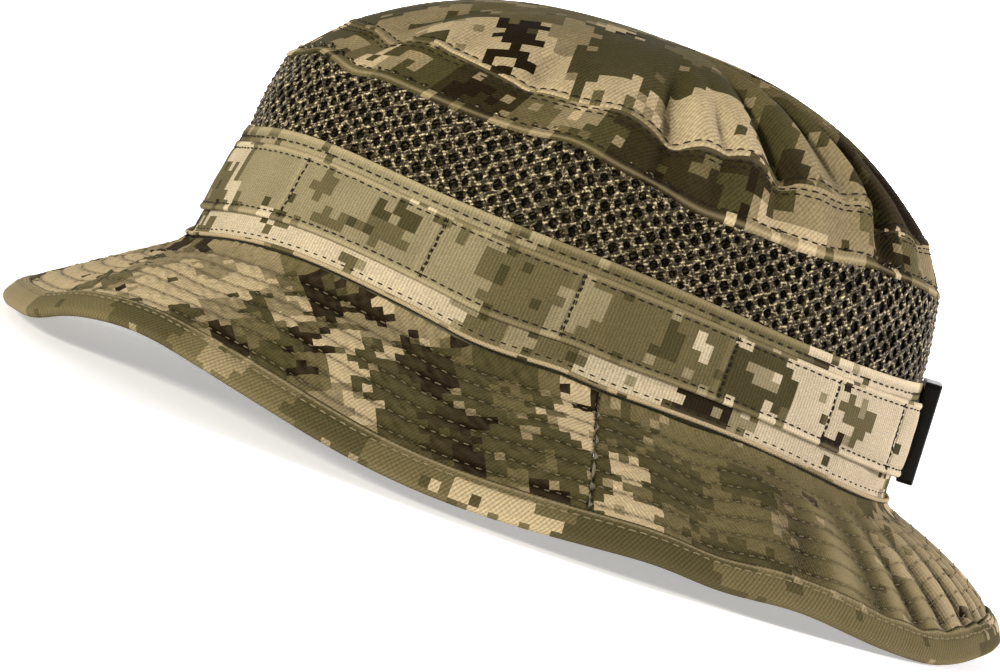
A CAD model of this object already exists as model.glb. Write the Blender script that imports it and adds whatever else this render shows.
"""Looks of a boonie hat: quilted brim, foliage band, net band, domed crown, rear adjuster.

Shapes are worked out in millimetres from the hat's seam rings, the same as in its CAD model,
and written to meshes in metres. Angles are in degrees from the rear, over the wearer's left.
"""
import math

import bmesh
import bpy
import numpy as np
from mathutils import Matrix, Vector


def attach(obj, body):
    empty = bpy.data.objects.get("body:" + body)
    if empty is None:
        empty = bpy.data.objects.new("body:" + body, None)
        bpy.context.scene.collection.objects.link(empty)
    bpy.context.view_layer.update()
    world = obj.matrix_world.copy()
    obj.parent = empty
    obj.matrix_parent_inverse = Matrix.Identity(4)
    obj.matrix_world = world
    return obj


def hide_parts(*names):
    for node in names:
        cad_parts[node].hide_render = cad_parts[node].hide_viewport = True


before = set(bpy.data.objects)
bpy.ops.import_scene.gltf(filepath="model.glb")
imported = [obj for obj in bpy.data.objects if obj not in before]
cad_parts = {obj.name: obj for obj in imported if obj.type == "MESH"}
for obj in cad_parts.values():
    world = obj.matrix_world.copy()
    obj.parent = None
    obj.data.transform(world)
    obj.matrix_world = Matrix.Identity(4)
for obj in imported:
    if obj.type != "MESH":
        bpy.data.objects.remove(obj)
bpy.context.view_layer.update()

METRES = 0.001

# ---- seam rings: half width, half length, centre in Y, heights every 30 degrees
FLOOR_LIFT = 2.35
RINGS = {
    "rim": (122.9, 144.9, 0.35, (5.0, 0.0, 5.5, 3.0, 9.5, 8.5, 0.0)),
    "brim_seam": (83.0, 103.0, 0.0, (31.0, 33.5, 39.0, 40.0, 43.5, 40.5, 34.5)),
    "net_low": (77.0, 99.5, 2.0, (63.5, 64.5, 67.5, 70.5, 72.0, 71.5, 66.5)),
    "net_high": (71.0, 96.0, 2.0, (89.0, 92.0, 91.5, 95.5, 95.5, 95.5, 91.0)),
    "crown_seam": (64.0, 86.0, 4.5, (101.0, 103.0, 107.5, 107.5, 107.5, 106.0, 104.5)),
}
# small rises and dips of a seam where its cloth puckers: angle, width in degrees, rise
PUCKERS = {
    "rim": ((178, 7, 1.2), (157, 7, -2.3), (135, 9, 1.4), (62, 6, -1.2),
            (300, 9, 1.6), (262, 8, -1.4), (215, 8, 1.2)),
    "brim_seam": ((101, 6, -0.8), (87, 5, 0.8), (262, 6, -0.7)),
    "net_low": (),
    "net_high": ((155, 5, 1.3), (142, 5, -1.8), (98, 6, 2.0), (76, 6, -1.5), (42, 6, 1.0),
                 (208, 7, 1.2), (250, 7, -1.4), (283, 6, 1.6), (322, 6, -1.0)),
    "crown_seam": ((146, 4, -2.7), (134, 6, 1.9), (114, 6, -1.1), (94, 5, 1.9), (84, 4, -2.4),
                   (69, 4, 1.3), (63, 3, -1.8), (43, 6, 2.4), (37, 3, -1.9),
                   (206, 5, -2.0), (222, 5, 1.6), (251, 5, -2.2), (275, 6, 1.7),
                   (301, 5, -2.1), (329, 6, 1.5)),
}

# ---- crown
CROWN_COLUMNS = 900         # of its cloth grids
DOME_TOP = 129.5
DOME_RISE = 24.0            # of the dome above its seam
DOME_REACH = 74.0           # from the seam to the middle
DOME_POWER = 2.7            # how square the dome's shoulder is
SEAM_HOLD = 0.45            # share of a fold's rise that is left at the top seam
SEAM_LEAN = math.atan(DOME_POWER * DOME_RISE / DOME_REACH)      # slope of the dome at its seam
FOLD_START = 0.09           # share of the way inwards where a fold has its full rise
FOLD_DRIFT = 6.0            # degrees that a fold turns on its way to the middle
UPPER_TALL = 14.0
LOWER_TALL = 30.0
CLOTH = 0.7                 # thickness
STRIP = 0.5                 # thickness of binding cloth
EDGE_INSET = 1.7            # of a stitch row from the edge that it holds
SIDE_INSET = 1.6            # the same on the lower side panel
BINDING_INSET = 1.9         # and on the net's binding
BAND_LOW = 0.24
BAND_HIGH = 0.88
BAND_TALL = 20.5
BAND_THICK = 0.9
BAND_END_ANGLE = 12.5
BAND_END_STITCH = 20.5
BAND_END_RISE = 2.4
BAND_LOOP_RISE = 0.7
TACKS = (20.5, 41.0, 63.0, 89.0, 112.0, 141.0, 180.0, 219.0, 248.0, 271.0, 297.0, 319.0, 339.5)

# ---- brim
SEAM_DROP = 0.11            # share of the fall that lies right beside the seam
SEAM_BEND = 0.03
LIP_DROP = 0.10             # share of the fall that lies at the rim
LIP_POWER = 10
REAR_SAG = 0.07
SIDE_SEAM = 80.4
SIDE_SEAM_WIDTH = 0.42
SIDE_SEAM_DIP = 0.75
BINDING_START = 0.88
ROWS = np.linspace(0.13, 0.83, 7)
BINDING_ROWS = (0.90, 0.925)
BRIM_WIDTH = 50.0
BINDING_REACH = (1.0 - BINDING_START) * BRIM_WIDTH
BRIM_CLOTH = 0.44
QUILT_RISE = 0.55
TOP_SEED, UNDER_SEED = 5, 6         # of the puckers on the brim's two faces
TOP_LEVEL = 0.85            # brim's top cloth above its middle surface

# ---- sewing
STITCH_PITCH = 3.1
STITCH_LENGTH = 2.35
THREAD_RADIUS = 0.23
UPPER_ROWS = (0.13, 0.80, 0.90)     # stitch rows of the upper side panel

# ---- rear adjuster
SLIDE_Y = 36.2
SLIDE_RADIUS = 66.3
SLIDE_LEAN = 2.9
STRAP_MIDDLE = 47.7
STRAP_WIDTH = 18.0
STRAP_THICK = 0.9
STRAP_HALF_ANGLE = 19.0
BUCKLE_WIDTH = 29.0
BUCKLE_LENGTH = 16.0
BUCKLE_THICK = 4.7
BUCKLE_RAIL = 2.6
BUCKLE_BAR = 2.6
BUCKLE_MID_BAR = 2.8
BUCKLE_MID_THICK = 1.8
BUCKLE_CORNER = 1.6
BUCKLE_EDGE = 0.45          # radius of its moulded edges
BUCKLE_LOW = STRAP_THICK + 0.3
WINDOW_TALL = BUCKLE_WIDTH - 2.0 * BUCKLE_RAIL

# ---- looks
PIXEL = 2.8                 # camouflage square
TONES = {
    "twill": {"sand": (0.37, 0.292, 0.168), "khaki": (0.200, 0.158, 0.084), "mid": (0.098, 0.079, 0.034),
              "olive": (0.050, 0.042, 0.0155), "deep": (0.026, 0.0195, 0.0075),
              "dark": (0.014, 0.0085, 0.0035)},
    "rib": {"sand": (0.41, 0.343, 0.228), "khaki": (0.205, 0.171, 0.096), "mid": (0.098, 0.080, 0.037),
            "olive": (0.050, 0.042, 0.017), "dark": (0.018, 0.012, 0.006)}}
# direction and pitch of a weave's ridges, then of its yarns
WEAVES = {"twill": (((0.78, 0.62), 1.0), ((0.62, -0.78), 1.1)),
          "rib": (((1.0, 0.0), 0.95), ((0.0, 1.0), 0.7))}
EDGE_TONE = (0.36, 0.29, 0.17)
RAGGED = 7.0                # how far a patch's edge strays
NET_PITCH = 5.8
NET_ROWS = 12
NET_ROW_SHARE = 0.827       # height of a row as a share of half the pitch
NET_CELL = (0.411 / 2.6, 2.19 / 2.6)        # half a cell's level edge and half its width, the same way
NET_WELD = 50.0             # steps in a millimetre: points on the same step are one point
NET_BRIGHT, NET_DULL = (0.70, 0.58, 0.34), (0.042, 0.032, 0.015)
FLAT_RADIUS = 121.0         # of the brim seam in the brim's flat pattern
REAR_TWIST = -52.0
SEAM_SLANT = -0.4           # the side seams lean to the rear by this many degrees at the rim

# patches of the print: angle, share of the panel, half sizes along and across, tone
DOME_PATCHES = (
    (163, 0.90, 12, 12, "olive"), (152, 0.86, 16, 12, "khaki"), (150, 0.78, 9, 5, "olive"),
    (138, 0.86, 9, 7, "sand"), (118, 0.84, 25, 17, "sand"), (133, 0.70, 6, 3.5, "dark"),
    (128, 0.78, 4.5, 4, "dark"), (124, 0.86, 3, 3.5, "dark"), (120, 0.94, 3.5, 2.2, "dark"),
    (117, 0.62, 9, 8, "khaki"), (108, 0.86, 3, 2.2, "khaki"), (103, 0.66, 12, 17, "olive"),
    (84, 0.52, 20, 14, "olive"), (92, 0.94, 11, 5, "khaki"), (97, 0.86, 8, 6, "sand"),
    (99, 0.74, 8, 4, "olive"),
    (77, 0.85, 15, 12, "sand"), (60, 0.76, 9, 6, "olive"), (59, 0.93, 5, 6, "deep"),
    (46, 0.84, 12, 12, "khaki"), (45, 0.64, 12, 6, "olive"), (33, 0.88, 8, 12, "deep"),
    (20, 0.84, 12, 14, "deep"), (5, 0.90, 16, 12, "dark"), (60, 0.30, 14, 12, "mid"))
UPPER_PATCHES = (
    (157, 0.5, 16, 10, "olive"), (151, 0.4, 5, 5, "khaki"), (142, 0.5, 10, 10, "mid"),
    (141, 0.35, 4.5, 5, "sand"), (130, 0.5, 14, 10, "olive"), (134, 0.38, 5.5, 4.5, "khaki"),
    (116, 0.5, 13, 10, "deep"), (118, 0.4, 4, 3, "dark"), (106, 0.5, 6, 10, "mid"),
    (98, 0.68, 6, 3, "sand"), (89, 0.5, 13, 10, "deep"), (93, 0.3, 5, 4, "olive"),
    (77, 0.5, 14, 10, "deep"), (76, 0.6, 3.5, 3, "mid"), (69, 0.35, 6, 4, "olive"),
    (66, 0.7, 5, 4, "deep"), (56, 0.5, 14, 10, "khaki"), (61, 0.62, 4.5, 3.5, "olive"),
    (58, 0.12, 8, 3, "sand"), (44, 0.5, 10, 10, "khaki"), (41, 0.4, 3, 5, "mid"),
    (33, 0.5, 8, 10, "deep"), (22, 0.5, 8, 10, "mid"), (12, 0.5, 10, 10, "khaki"))
LOWER_PATCHES = (
    (162, 0.1, 14, 9, "mid"), (130, 0.1, 50, 9, "sand"), (121, 0.07, 3, 2.2, "mid"),
    (139, 0.2, 3, 2.2, "mid"), (98, 0.1, 6, 7, "mid"), (93, 0.1, 4, 7, "khaki"),
    (87, 0.1, 7, 7, "mid"), (75, 0.1, 11, 7, "sand"), (63, 0.1, 9, 7, "dark"),
    (35, 0.1, 36, 9, "sand"), (56, 0.05, 3, 3, "khaki"))
NET_BINDING_PATCHES = ((120, 0.5, 60, 9, "khaki"), (75, 0.5, 40, 9, "mid"), (30, 0.5, 26, 9, "sand"))
BAND_PATCHES = (
    (172, 0.5, 30, 13, "mid"), (163, 0.8, 7, 6, "sand"), (149, 0.55, 12, 13, "khaki"),
    (158, 0.35, 2.4, 3.4, "sand"), (157, 0.12, 4, 2, "sand"), (127, 0.5, 28, 14, "khaki"),
    (134, 0.55, 4.5, 4, "mid"), (121, 0.38, 5, 4, "mid"), (117, 0.62, 6, 4.5, "olive"),
    (116, 0.3, 6, 3, "mid"), (130, 0.18, 5, 3, "mid"), (107, 0.5, 14, 14, "khaki"),
    (94, 0.5, 11, 14, "mid"), (101, 0.5, 3.5, 6, "mid"), (108, 0.9, 6, 3, "mid"),
    (76, 0.5, 28, 15, "mid"), (87, 0.42, 6, 7, "khaki"), (72, 0.45, 3.5, 5, "olive"),
    (67, 0.58, 3.2, 3, "sand"), (58, 0.5, 9, 14, "olive"), (61, 0.8, 3, 2.4, "sand"),
    (54, 0.42, 4.5, 5, "khaki"), (46, 0.6, 9, 14, "sand"), (51, 0.35, 4, 6, "olive"),
    (39, 0.75, 2.5, 4, "mid"), (28, 0.5, 20, 14, "sand"), (35, 0.55, 4, 4, "mid"),
    (31, 0.35, 5, 4.5, "mid"), (14, 0.5, 9, 13, "sand"))
FRONT_PATCHES = (
    (166, 0.55, 24, 20, "sand"), (150, 0.35, 18, 12, "khaki"), (151, 0.04, 9, 3.5, "dark"),
    (160, 0.25, 5, 4, "olive"), (153, 0.62, 6, 3, "olive"), (168, 0.10, 6, 4, "dark"),
    (138, 0.14, 24, 8, "khaki"), (137, 0.50, 20, 18, "sand"), (128, 0.44, 4.5, 6, "olive"),
    (129, 0.66, 9, 8, "khaki"), (132, 0.82, 6, 3, "olive"), (141, 0.28, 8, 5, "khaki"),
    (119, 0.82, 15, 7, "olive"), (123, 0.68, 8, 5, "mid"), (123, 0.12, 6, 5, "dark"),
    (120, 0.26, 6, 6, "dark"), (124, 0.40, 5, 4, "khaki"), (117, 0.08, 6, 5, "dark"),
    (113, 0.12, 4, 4, "dark"), (116, 0.53, 5.5, 8, "dark"),
    (98, 0.60, 28, 20, "olive"), (92, 0.18, 22, 10, "olive"), (114, 0.45, 5, 6.5, "sand"),
    (110, 0.27, 5, 4.5, "khaki"), (108, 0.34, 4, 5, "sand"), (111, 0.64, 4.5, 5, "sand"),
    (106, 0.78, 6, 4, "sand"), (106, 0.20, 5, 4, "dark"), (103, 0.33, 9, 8, "deep"),
    (101, 0.36, 6, 5, "dark"), (96, 0.68, 12, 8, "deep"), (93, 0.60, 7, 6, "dark"),
    (93, 0.86, 11, 4, "dark"), (86, 0.60, 9, 16, "olive"),
    (88, 0.53, 3, 2.8, "khaki"), (85, 0.66, 2.5, 2.5, "mid"), (83.5, 0.04, 7, 3.5, "sand"),
    (82, 0.25, 2.6, 7, "sand"), (91, 0.30, 7, 5, "mid"))
REAR_PATCHES = (
    (60, 0.5, 40, 30, "mid"), (76, 0.22, 8, 9, "olive"), (69, 0.45, 12, 12, "olive"),
    (75, 0.5, 5, 4.5, "sand"), (76, 0.64, 3, 4.5, "sand"), (75, 0.80, 9, 5, "sand"),
    (54, 0.56, 2.6, 4, "khaki"), (57, 0.3, 10, 8, "olive"), (60, 0.85, 16, 6, "olive"),
    (36, 0.5, 18, 24, "mid"), (20, 0.5, 18, 24, "khaki"), (30, 0.75, 9, 9, "mid"),
    (24, 0.3, 6, 6, "mid"), (4, 0.5, 16, 26, "khaki"), (12, 0.6, 5, 5, "mid"), (5, 0.84, 14, 8, "khaki"))
EDGE_PATCHES = (
    (120, 0.7, 130, 20, "mid"), (135, 0.7, 13, 8, "olive"), (108, 0.7, 12, 20, "olive"),
    (168, 0.7, 26, 20, "khaki"), (122, 0.66, 7, 4, "khaki"), (89, 0.60, 15, 4, "sand"),
    (70, 0.7, 30, 20, "olive"), (60, 0.7, 12, 5, "mid"), (36, 0.7, 44, 20, "mid"))

# half of the brim: first, last and middle angle, turn of its grain, patches, seed, flat size, area
BRIM_HALVES = {
    "front": (SIDE_SEAM, 360.0 - SIDE_SEAM, 180.0, 0.0, FRONT_PATCHES, 33.0, (0.150, 0.285), 0.0205),
    "rear": (-SIDE_SEAM, SIDE_SEAM, 0.0, REAR_TWIST, REAR_PATCHES, 37.0, (0.125, 0.255), 0.0165)}

# folds of the crown: angle, width in degrees, rise, how far they run towards the middle
FOLDS = ((151, 3.0, -1.6, 0.25), (143, 4.0, 1.2, 0.3), (131, 3.0, -1.4, 0.25), (112, 2.6, -1.8, 0.18),
         (98, 4.5, 1.0, 0.3), (84, 2.2, -2.7, 0.24), (78.5, 2.4, 1.5, 0.3), (74, 1.4, -1.2, 0.15),
         (70, 2.6, 1.1, 0.25), (62, 2.4, -3.1, 0.36), (54, 3.2, 2.4, 0.5), (47, 2.0, -1.6, 0.45),
         (42, 2.2, 2.2, 0.5), (35, 3.2, -5.2, 0.55), (26, 3.6, 1.4, 0.45), (17, 3.2, -2.0, 0.4),
         (206, 4.0, -1.8, 0.35), (222, 6.0, 1.4, 0.35), (251, 3.2, -2.6, 0.4), (275, 6.0, 1.6, 0.4),
         (301, 3.0, -2.8, 0.45), (329, 6.0, 1.6, 0.4), (345, 3.0, -2.2, 0.4))
# radial folds of the brim: angle, width in degrees, rise, share of the width where they begin
REAR_FOLDS = ((52, 3.0, -1.0, 0.05), (45, 2.6, 0.8, 0.05), (39, 1.7, -0.9, 0.10), (35, 1.6, 1.0, 0.10),
              (31, 1.5, -1.2, 0.10), (27.5, 1.4, 1.2, 0.12), (24, 1.2, -1.5, 0.15), (21, 1.1, 1.2, 0.2),
              (18, 1.0, -1.6, 0.2), (15.5, 1.0, 1.2, 0.25), (13, 0.9, -1.6, 0.25), (10.5, 1.0, 1.2, 0.25),
              (8, 0.9, -1.5, 0.3), (5, 1.2, 1.0, 0.3), (1, 1.4, -1.2, 0.3), (-4, 1.8, 1.1, 0.25),
              (-10, 1.8, -1.3, 0.25), (-17, 2.2, 1.1, 0.25), (-25, 2.0, -1.2, 0.2))
# the brim's own swells and valleys: angle, share of width, their widths, rise
SWELLS = (
    (150, 0.55, 9, 0.30, 1.8), (136, 0.45, 8, 0.30, -1.8), (118, 0.6, 10, 0.35, 1.2),
    (66, 0.55, 5, 0.45, -2.2), (52, 0.6, 8, 0.4, 1.6), (30, 0.6, 6, 0.4, -1.2),
    (17, 0.6, 5, 0.4, 1.2), (215, 0.5, 10, 0.3, 1.6), (243, 0.55, 9, 0.35, -1.8),
    (288, 0.5, 10, 0.35, 1.5), (312, 0.6, 8, 0.4, -1.6), (338, 0.6, 7, 0.35, 1.3),
)

# ---- studio
CAMERA_TARGET = (0.0, -0.0125, 0.0388)
CAMERA_AWAY = 1.6
CAMERA_LENS = 207.36        # focal length, in millimetres
CAMERA_LIFT = 4.75          # degrees above the horizon
CAMERA_ROLL = 19.95
SKY_STRENGTH = 0.27
# name, place, aim, power, size, tint
LAMPS = (("key", (1.6, -1.25, 0.62), (0.0, 0.0, 0.07), 48.0, 0.36, (1.0, 0.96, 0.88)),
         ("fill", (-0.1, 1.95, 0.7), (0.0, 0.0, 0.07), 46.0, 0.45, (1.0, 0.95, 1.02)),
         ("backdrop", (-2.2, 0.0, 2.6), (-6.5, 0.0, 0.3), 900.0, 3.0, (1.0, 1.0, 1.0)))


# ---- surfaces
def turn_to(angle, centre):
    """Signed difference of two angles, in degrees."""
    return (angle - centre + 180.0) % 360.0 - 180.0


def bell(value, width):
    return np.exp(-(value / width) ** 2)


def crest(angle, centre, width):
    """Bell about one angle of the hat."""
    return bell(turn_to(angle, centre), width)


def arch(share):
    """Half a wave: 0 at both ends of the shares from 0 to 1, and 1 in the middle."""
    return np.sin(np.pi * np.clip(share, 0.0, 1.0))


def ring_height(name, angle):
    """Height of a seam ring: a smooth curve through its seven heights, with its puckers."""
    heights = np.array(RINGS[name][3])
    order = np.arange(len(heights))
    last = order[-1]
    ends = np.ones(len(heights))
    ends[[0, -1]] = 0.5
    shares = 2.0 / last * (np.cos(np.pi * np.outer(order, order) / last) @ (ends * heights)) * ends
    height = np.cos(np.radians(angle)[..., None] * order) @ shares + FLOOR_LIFT
    for centre, width, rise in PUCKERS[name]:
        height = height + rise * crest(angle, centre, width)
    return height


def ring_normal(name, angle):
    """Level direction straight out of a ring."""
    half_width, half_length = RINGS[name][:2]
    turn = np.radians(angle)
    normal = np.stack([np.sin(turn) / half_width, np.cos(turn) / half_length, 0 * turn], -1)
    return normal / np.linalg.norm(normal, axis=-1, keepdims=True)


def ring_point(name, angle, offset=0.0):
    """Point on a ring, or at an offset out of it."""
    half_width, half_length, centre_y, _ = RINGS[name]
    turn = np.radians(angle)
    place = np.stack([half_width * np.sin(turn), centre_y + half_length * np.cos(turn),
                      ring_height(name, angle)], -1)
    return place + ring_normal(name, angle) * np.asarray(offset)[..., None]


def wall(low, high, angle, share, offset=0.0):
    """Point of the crown's wall, between two rings."""
    start, end = ring_point(low, angle, offset), ring_point(high, angle, offset)
    return start + (end - start) * np.asarray(share)[..., None]


def waves(angle, share, seed, count=9, fastest=24, strength=1.0):
    """Gentle undulation that closes round the hat; the same for the same seed."""
    dice = np.random.default_rng(seed)
    total = 0.0 * angle
    for _ in range(count):
        turns = dice.integers(3, fastest)
        rise, phase = dice.uniform(-6.0, 6.0), dice.uniform(0.0, 2.0 * np.pi)
        size = dice.uniform(0.4, 1.0) * 6.0 / (turns + 6.0)
        total = total + size * np.sin(np.radians(angle) * turns + rise * share + phase)
    return strength * total / math.sqrt(count)


def brim_drop(share, angle):
    """Part of the fall from seam to rim that lies inside a share of the brim's width."""
    rear = 0.5 + 0.5 * np.cos(np.radians(angle))
    fall = SEAM_DROP * (1.0 - np.exp(-share / SEAM_BEND))
    fall = fall + (1.0 - SEAM_DROP - LIP_DROP) * share + LIP_DROP * np.abs(share) ** LIP_POWER
    return fall - REAR_SAG * rear * np.sin(np.pi * share)


def brim_folds(angle, share):
    """Rise of the radial pleats at the brim's rear."""
    total = 0.0 * angle
    for centre, wide, rise, inner in REAR_FOLDS:
        reach = np.clip((share - 0.4 * inner) * 1.7, 0.0, 1.0) * np.clip((0.94 - share) * 8.0, 0.0, 1.0)
        total = total + rise * crest(angle, centre + 2.0 * (share - 0.5), wide) * reach
    return total


def brim_middle(angle, share):
    """Surface in the middle of the brim, with its swells and pleats."""
    inner, outer = ring_point("brim_seam", angle), ring_point("rim", angle)
    place = inner + (outer - inner) * share[..., None]
    height = inner[..., 2] + (outer[..., 2] - inner[..., 2]) * brim_drop(share, angle)
    for centre, middle, wide, tall, rise in SWELLS:
        height = height + rise * crest(angle, centre, wide) * bell(share - middle, tall)
    place[..., 2] = height + brim_folds(angle, share)
    return place


def brim_normal(angle, share):
    step = 0.008
    along = brim_middle(angle, share + step) - brim_middle(angle, share - step)
    around = brim_middle(angle + 0.5, share) - brim_middle(angle - 0.5, share)
    normal = np.cross(along, around)
    normal /= np.linalg.norm(normal, axis=-1, keepdims=True)
    return normal * np.where(normal[..., 2:] < 0, -1.0, 1.0)


def tautness(angle):
    """How far the rear pulls the brim's quilting flat."""
    return crest(angle, 0.0, 38.0)


def quilting(angle, share, seed):
    """Rise of the brim's cloth between its stitch rows, with small puckers along each row."""
    rows = np.concatenate([[-0.02], ROWS, [BINDING_START + 0.03]])
    lane = np.clip(np.searchsorted(rows, share) - 1, 0, len(rows) - 2)
    width = rows[lane + 1] - rows[lane]
    across = np.clip((share - rows[lane]) / width, 0.0, 1.0)
    puff = arch(across) ** 0.55
    dice = np.random.default_rng(seed)
    pucker = 0.0 * angle
    for _ in range(7):
        turns = dice.integers(70, 190)
        slant, phase = dice.uniform(-14.0, 14.0), dice.uniform(0, 2 * np.pi, len(rows))
        pucker = pucker + np.sin(np.radians(angle) * turns + slant * across + phase[lane])
    near_row = 1.0 - puff
    taut = tautness(angle)
    slack, pucker = 1.0 - 0.8 * taut, pucker * (1.0 - 0.7 * taut)
    rise = puff * (1.0 + 0.14 * pucker) + 0.07 * pucker * near_row - 1.0
    return QUILT_RISE * slack * rise


# ---- meshes
def unit(vectors):
    return vectors / (np.linalg.norm(vectors, axis=-1, keepdims=True) + 1e-12)


def outward(points, whole):
    """Normals of a grid whose rows climb from the rim to the crown and whose columns turn."""
    if whole:
        around = np.roll(points, -1, 1) - np.roll(points, 1, 1)
    else:
        around = np.gradient(points, axis=1)
    return unit(np.cross(np.gradient(points, axis=0), around))


def closed(points):
    """Grid whose first column comes again at its end."""
    return np.concatenate([points, points[:, :1]], 1)


def lengths(points):
    """Distances along a line of points, from its start."""
    steps = np.linalg.norm(np.diff(points, axis=0), axis=-1)
    return np.concatenate([[0.0], np.cumsum(steps)])


def add_object(name, data):
    made = bpy.data.objects.new(name, data)
    bpy.context.scene.collection.objects.link(made)
    return made


def mesh_object(name, points, faces, corners=None, wear=None, inside=None):
    """Mesh object in metres. corners is the cloth map of each face corner, in millimetres;
    wear lightens a point's cloth; inside marks the faces on the cloth's wrong side."""
    mesh = bpy.data.meshes.new(name)
    mesh.from_pydata((np.asarray(points) * METRES).tolist(), [], faces)
    if corners is not None:
        layer = mesh.uv_layers.new(name="cloth")
        layer.data.foreach_set("uv", np.asarray(corners, np.float32).ravel())
    data = mesh.attributes.new("wear", "FLOAT", "POINT").data
    shade = np.zeros(len(points)) if wear is None else wear
    data.foreach_set("value", np.asarray(shade, np.float32).ravel())
    if inside is not None:
        mesh.polygons.foreach_set("material_index", np.asarray(inside, np.int32))
    mesh.shade_smooth()
    return add_object(name, mesh)


def finish_piece(made, materials, node=None, body="hat"):
    for material in materials:
        made.data.materials.append(material)
    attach(made, body)
    if node:
        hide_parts(node)


def skin(profile, cloth, count, whole=True):
    """Faces from each of a profile's first rows to the next row, with the cloth map of their
    corners. cloth has one more column than a whole profile, so that the map doesn't fold back."""
    total, columns = profile.shape[:2]
    index = np.arange(total * columns).reshape(total, columns)
    here = np.arange(columns if whole else columns - 1)
    there = (here + 1) % columns
    faces, corners = [], []
    for row in range(count):
        after = (row + 1) % total
        faces.append(np.stack([index[row, here], index[after, here],
                               index[after, there], index[row, there]], -1))
        corners.append(np.stack([cloth[row, here], cloth[after, here],
                                 cloth[after, here + 1], cloth[row, here + 1]], 1))
    return index, np.concatenate(faces).tolist(), np.concatenate(corners).reshape(-1, 2).tolist()


def hoop(name, profile, cloth, whole=True, wear=None, inner_rows=()):
    """Closed skin through a loop of rows, each a line of points round the hat."""
    total, columns = profile.shape[:2]
    index, faces, corners = skin(profile, cloth, total, whole)
    inside = np.repeat([int(row in inner_rows) for row in range(total)], len(faces) // total).tolist()
    if not whole:
        for column, turn in ((0, -1), (columns - 1, 1)):
            for row in range(total // 2 - 1):
                ring = [row, total - 1 - row, total - 2 - row, row + 1][::turn]
                faces.append([int(index[k, column]) for k in ring])
                corners += [cloth[k, column].tolist() for k in ring]
                inside.append(0)
    return mesh_object(name, profile.reshape(-1, 3), faces, corners, wear, inside)


def ply(points, thick, whole=True):
    """Loop of rows round a sheet: its outer face going up, its rounded top edge, its inner
    face coming down and its rounded lower edge, which starts and ends the loop."""
    normal = outward(points, whole)
    half = 0.5 * np.broadcast_to(thick, points.shape[:2])[..., None]
    top = unit(points[-1] - points[-2]) * half[-1]
    low = unit(points[0] - points[1]) * half[0]
    lean_out = 0.7
    rows = [points[0] + low + normal[0] * half[0] * 0.35]
    rows += list(points + normal * half)
    rows += [points[-1] + (top + normal[-1] * half[-1]) * lean_out, points[-1] + top,
             points[-1] + (top - normal[-1] * half[-1]) * lean_out]
    rows += list((points - normal * half)[::-1])
    rows += [points[0] + low - normal[0] * half[0] * 0.35]
    return np.array(rows)


def ply_rows(count):
    """For each row of a ply, the row of its sheet that it follows, and the inner rows."""
    last = count - 1
    rows = [0, *range(count), last, last, last, *range(count)[::-1], 0]
    return rows, set(range(count + 3, 2 * count + 4))


def strip_map(points, whole):
    """Cloth map of a straight-cut strip: length round the hat, and height up it."""
    middle = points[len(points) // 2]
    if whole:
        middle = np.concatenate([middle, middle[:1]])
    height = lengths(points[:, points.shape[1] // 4])
    across, up = np.meshgrid(lengths(middle), height)
    return np.stack([across, up], -1)


def sheet(name, points, thick, whole=True, cloth=None, wear=None):
    """Sheet of cloth round a grid of middle points."""
    if cloth is None:
        cloth = strip_map(points, whole)
    rows, inner = ply_rows(len(points))
    shade = None if wear is None else wear[rows].reshape(-1)
    return hoop(name, ply(points, thick, whole), cloth[rows], whole, shade, inner)


def below(outer, thick, whole=True):
    """Middle of a cloth whose outer face is given."""
    return outer - outward(outer, whole) * 0.5 * thick


def cloth_piece(name, middle, thick, node, materials,
                whole=True, cloth=None, wear=None, body="hat"):
    """Sheet with its node, its looks and, where it counts as soft, the size that it was cut to."""
    made = sheet(name, middle, thick, whole, cloth, wear)
    finish_piece(made, materials, node, body)


def dome_sheet(name, points, thick, cloth, wear):
    """Round sheet: rows climb from its edge to its middle, which a last point closes."""
    normal = outward(points, True)
    half = 0.5 * thick
    edge = points[0] + unit(points[0] - points[1]) * half
    profile = np.array([*(points - normal * half)[::-1], edge, *(points + normal * half)])
    count, columns = points.shape[:2]
    picks = [*range(count)[::-1], 0, *range(count)]
    index, faces, corners = skin(profile, cloth[picks], len(profile) - 1)
    inside = np.repeat([int(row < count - 1) for row in range(len(profile) - 1)], columns).tolist()
    flat, shade = profile.reshape(-1, 3), wear[picks].reshape(-1)
    middle = cloth[-1, :-1].mean(0).tolist()
    for row, turn in ((len(profile) - 1, 1), (0, -1)):
        pole = len(flat)
        flat = np.concatenate([flat, profile[row].mean(0)[None]])
        shade = np.append(shade, 0.0)
        for k in range(columns):
            faces.append([int(index[row, k]), pole, int(index[row, (k + 1) % columns])][::turn])
            corners += [cloth[-1, k].tolist(), middle, cloth[-1, k + 1].tolist()][::turn]
            inside.append(int(row == 0))
    return mesh_object(name, flat, faces, corners, shade, inside)


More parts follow.
